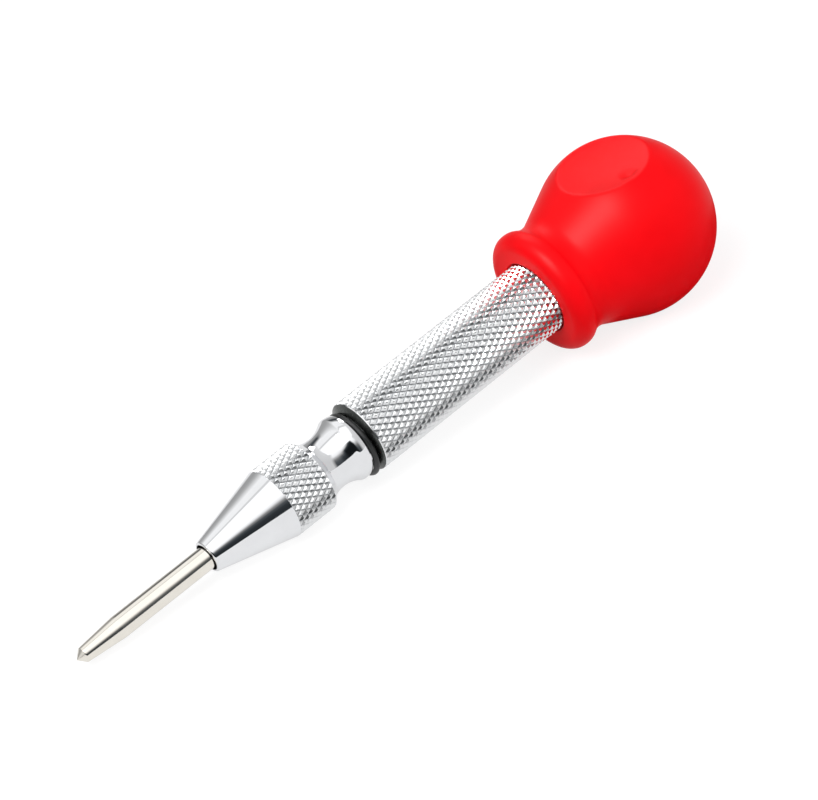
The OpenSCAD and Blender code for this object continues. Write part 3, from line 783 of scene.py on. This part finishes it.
world = bpy.data.worlds.new("whiteStudio")
world.use_nodes = True
scene.world = world
tree = world.node_tree
tree.nodes.clear()
seen = seenRays(tree, addNode(tree, "ShaderNodeLightPath").outputs)
soft = addNode(tree, "ShaderNodeBackground", {
    "Color": hexColour(studio["ambientColour"]), "Strength": studio["ambient"]})
white = addNode(tree, "ShaderNodeBackground", {"Color": (1, 1, 1, 1), "Strength": 1.0})
mixed = addNode(tree, "ShaderNodeMixShader", {0: seen, 1: soft, 2: white})
addNode(tree, "ShaderNodeOutputWorld", {"Surface": mixed})

tableTop = bpy.data.materials.new("whiteTable")
tableTop.use_nodes = True
tree = tableTop.node_tree
tree.nodes.clear()
path = addNode(tree, "ShaderNodeLightPath").outputs
seen = seenRays(tree, path)
plain = addNode(tree, "ShaderNodeBsdfDiffuse", {"Color": hexColour(studio["tableColour"])})
faint = addNode(tree, "ShaderNodeBsdfDiffuse", {"Color": hexColour(studio["tableFaint"])})
level = addNode(tree, "ShaderNodeMath", {
    0: path["Is Camera Ray"], 1: studio["tableGlowSeen"], 2: studio["tableGlow"]}, operation="MULTIPLY_ADD")
glow = addNode(tree, "ShaderNodeEmission", {"Color": (1, 1, 1, 1), "Strength": level})
shown = addNode(tree, "ShaderNodeAddShader", {0: faint, 1: glow})
mixed = addNode(tree, "ShaderNodeMixShader", {0: seen, 1: plain, 2: shown})
addNode(tree, "ShaderNodeOutputMaterial", {"Surface": mixed})


def stageMesh(name, corners, faces, material):
    mesh = bpy.data.meshes.new(name)
    mesh.from_pydata(corners, [], faces)
    mesh.materials.append(material)
    item = bpy.data.objects.new(name, mesh)
    scene.collection.objects.link(item)
    return item


half = studio["tableHalf"]
stageMesh("table", [(x * half, y * half, studio["tableZ"]) for x, y in square], [(0, 1, 2, 3)], tableTop)

# Surround for the mirrors: dark in front, where the camera stands, pale at the sides and grey behind.
# Heights are in degrees as the tool sees them, turns in degrees from the right, and a shade of 1 is white.
wall = {
    "radius": 0.62, "columns": 180, "middleZ": 0.006, "darkTint": "#dcefff", "darkBelow": 0.2,
    "heights": [-0.5, 8, 16, 24, 30.5, 32, 38, 44, 50, 56],
    "front": [0.033, 0.033, 0.05, 0.13, 0.45, 0.55, 0.92, 1.08, 1.16, 1.18],
    "frontLeft": [0.010, 0.010, 0.010, 0.012, 0.06, 0.30, 0.95, 1.16, 1.18, 1.18],
    "frontRight": [0.08, 0.08, 0.11, 0.20, 0.45, 0.55, 0.95, 1.08, 1.16, 1.18],
    "right": [0.66, 0.66, 0.66, 0.66, 0.67, 0.68, 0.70, 0.72, 0.76, 0.80],
    "rightLow": [0.10, 0.10, 0.24, 0.60, 0.66, 0.66, 0.70, 0.75, 0.80, 0.90],
    "backRight": [0.42, 0.40, 0.32, 0.10, 0.06, 0.06, 0.30, 0.90, 1.10, 1.15],
    "back": [0.40, 0.38, 0.38, 0.42, 0.50, 0.52, 0.66, 0.80, 0.95, 1],
    "left": [0.70, 0.72, 0.76, 0.80, 0.85, 0.86, 0.92, 0.98, 1, 1],
    "turns": [(-180, "left"), (-168, "left"), (-164, "frontLeft"), (-112, "frontLeft"), (-100, "front"),
              (-94, "front"), (-82, "frontRight"), (-64, "frontRight"), (-52, "right"), (22, "right"),
              (32, "rightLow"), (42, "rightLow"), (52, "backRight"), (76, "backRight"), (88, "back"),
              (150, "back"), (172, "left"), (180, "left")],
}
overhead = {"z": 0.75, "ends": (-0.85, 0.45), "lines": [
    (-0.72, 1.18), (0.105, 1.18), (0.115, 0.74), (0.205, 0.74), (0.215, 1.0), (0.65, 1.0)]}  # with a seam
# Cards for the cap: a bright one in front of the key, one low behind the cap, and a dark one on the table, a
# painted shadow standing in for the cap's shadow where the cap's reflections see the table
capCards = {
    "sheenCard": {"middle": (-0.36, -0.166, 0.664), "half": 0.17, "shade": 21.0},
    "dishCard": {"middle": (0.077, 0.073, 0.086), "half": 0.022, "shade": 5.0},
    # Dark card under the cap: painted shadow, seen only in reflections
    "capShadowCard": {"middle": (0.066, -0.008, 0.0002), "half": 0.024, "shade": 0.02},
}
cardAim = Vector((0.066, -0.008, 0.02))  # what they face
# A pale veil over the metal hides the key's glare from it, but not from the cap
veil = {"x": (-0.20, -0.022), "y": (-0.09, 0.0), "z": 0.10, "shade": 1.18}

flock = bpy.data.materials.new("studioCloth")
flock.use_nodes = True
tree = flock.node_tree
tree.nodes.clear()
shade = addNode(tree, "ShaderNodeAttribute", attribute_name="shade").outputs["Fac"]
pale = addNode(tree, "ShaderNodeMapRange", {"Value": shade, "From Max": wall["darkBelow"]})
hue = addNode(tree, "ShaderNodeMix", {0: pale, 6: hexColour(wall["darkTint"]), 7: (1, 1, 1, 1)}, data_type="RGBA")
dim = addNode(tree, "ShaderNodeEmission", {"Color": hue, "Strength": shade})
addNode(tree, "ShaderNodeOutputMaterial", {"Surface": dim})


def mirrorCard(name, corners, shades, faces):
    card = stageMesh(name, corners, faces, flock)
    layer = card.data.attributes.new("shade", "FLOAT", "POINT")
    for k, value in enumerate(shades):
        layer.data[k].value = value
    card.visible_camera = False
    card.visible_diffuse = False
    card.visible_shadow = False


def wallShades(turn):
    for (start, before), (end, after) in zip(wall["turns"], wall["turns"][1:]):
        if turn <= end:
            share = (turn - start) / (end - start)
            return [a * (1 - share) + b * share for a, b in zip(wall[before], wall[after])]


corners, shades, faces = [], [], []
rows = len(wall["heights"])
for k in range(wall["columns"]):
    turn = 360 * k / wall["columns"] - 180
    x, y = (wall["radius"] * f(math.radians(turn)) for f in (math.cos, math.sin))
    corners += [(x, y, wall["middleZ"] + wall["radius"] * math.tan(math.radians(h))) for h in wall["heights"]]
    shades += wallShades(turn)
    beside = (k + 1) % wall["columns"] * rows
    faces += [(k * rows + j, beside + j, beside + j + 1, k * rows + j + 1) for j in range(rows - 1)]
mirrorCard("wall", corners, shades, faces)
corners = [(x, y, overhead["z"]) for y, s in overhead["lines"] for x in overhead["ends"]]
shades = [s for y, s in overhead["lines"] for x in overhead["ends"]]
faces = [(2 * k, 2 * k + 1, 2 * k + 3, 2 * k + 2) for k in range(len(overhead["lines"]) - 1)]
mirrorCard("overhead", corners, shades, faces)
(leftX, rightX), (frontY, backY) = veil["x"], veil["y"]
corners = [(x, y, veil["z"]) for x, y in ((leftX, frontY), (leftX, backY), (rightX, backY), (rightX, frontY))]
mirrorCard("veil", corners, [veil["shade"]] * 4, [(0, 1, 2, 3)])
for name, card in capCards.items():
    middle = Vector(card["middle"])
    facing = (cardAim - middle).to_track_quat("Z", "Y")
    corners = [middle + facing @ (Vector((x, y, 0)) * card["half"]) for x, y in square]
    mirrorCard(name, [tuple(c) for c in corners], [card["shade"]] * 4, [(0, 1, 2, 3)])

# A lamp's level is how bright its face is, where 1 is white; mirrors don't see the fill
lamps = {
    "keyPanel": {"place": (-0.38, -0.175, 0.70), "wide": 0.5, "deep": 0.6, "level": 5.3, "mirrored": True},
    "fillPanel": {"place": (0.50, -0.60, 0.36), "wide": 1.0, "deep": 0.6, "level": 1.5, "mirrored": False},
}
for name, lamp in lamps.items():
    light = bpy.data.lights.new(name, "AREA")
    light.shape = "RECTANGLE"
    light.size = lamp["wide"]
    light.size_y = lamp["deep"]
    light.energy = lamp["level"] * math.pi * lamp["wide"] * lamp["deep"]
    holder = bpy.data.objects.new(name, light)
    holder.location = lamp["place"]
    holder.rotation_euler = (-Vector(lamp["place"])).to_track_quat("-Z", "Y").to_euler()
    holder.visible_camera = False
    holder.visible_glossy = lamp["mirrored"]
    scene.collection.objects.link(holder)
print("studio made")

# Camera: turned round the tool's axis, tilted towards the tip, and slanted in the frame
view = {"roundDeg": 52.0, "tiltDeg": 22.0, "slantDeg": 38.37, "distance": 0.765, "aimMm": 71.31, "asideMm": -0.32,
        "lens": 207.37, "sensor": 36, "nearest": 0.01}
roundTurn, tilt, slant = (math.radians(view[k]) for k in ("roundDeg", "tiltDeg", "slantDeg"))
nearSide = -down * math.cos(roundTurn) - across * math.sin(roundTurn)
backward = (nearSide * math.cos(tilt) - along * math.sin(tilt)).normalized()
flat = (along - backward * along.dot(backward)).normalized()
side = backward.cross(flat)
right = flat * math.cos(slant) - side * math.sin(slant)
upward = flat * math.sin(slant) + side * math.cos(slant)
lens = bpy.data.cameras.new("camera")
lens.lens = view["lens"]
lens.sensor_width = view["sensor"]
lens.clip_start = view["nearest"]
camera = bpy.data.objects.new("camera", lens)
aim = toolFrame @ Vector((0, 0, view["aimMm"])) + side * view["asideMm"] / 1000
turned = Matrix((right, upward, backward)).transposed().to_4x4()
camera.matrix_world = Matrix.Translation(aim + backward * view["distance"]) @ turned
scene.collection.objects.link(camera)
scene.camera = camera
print("camera at", tuple(round(c, 4) for c in camera.location))
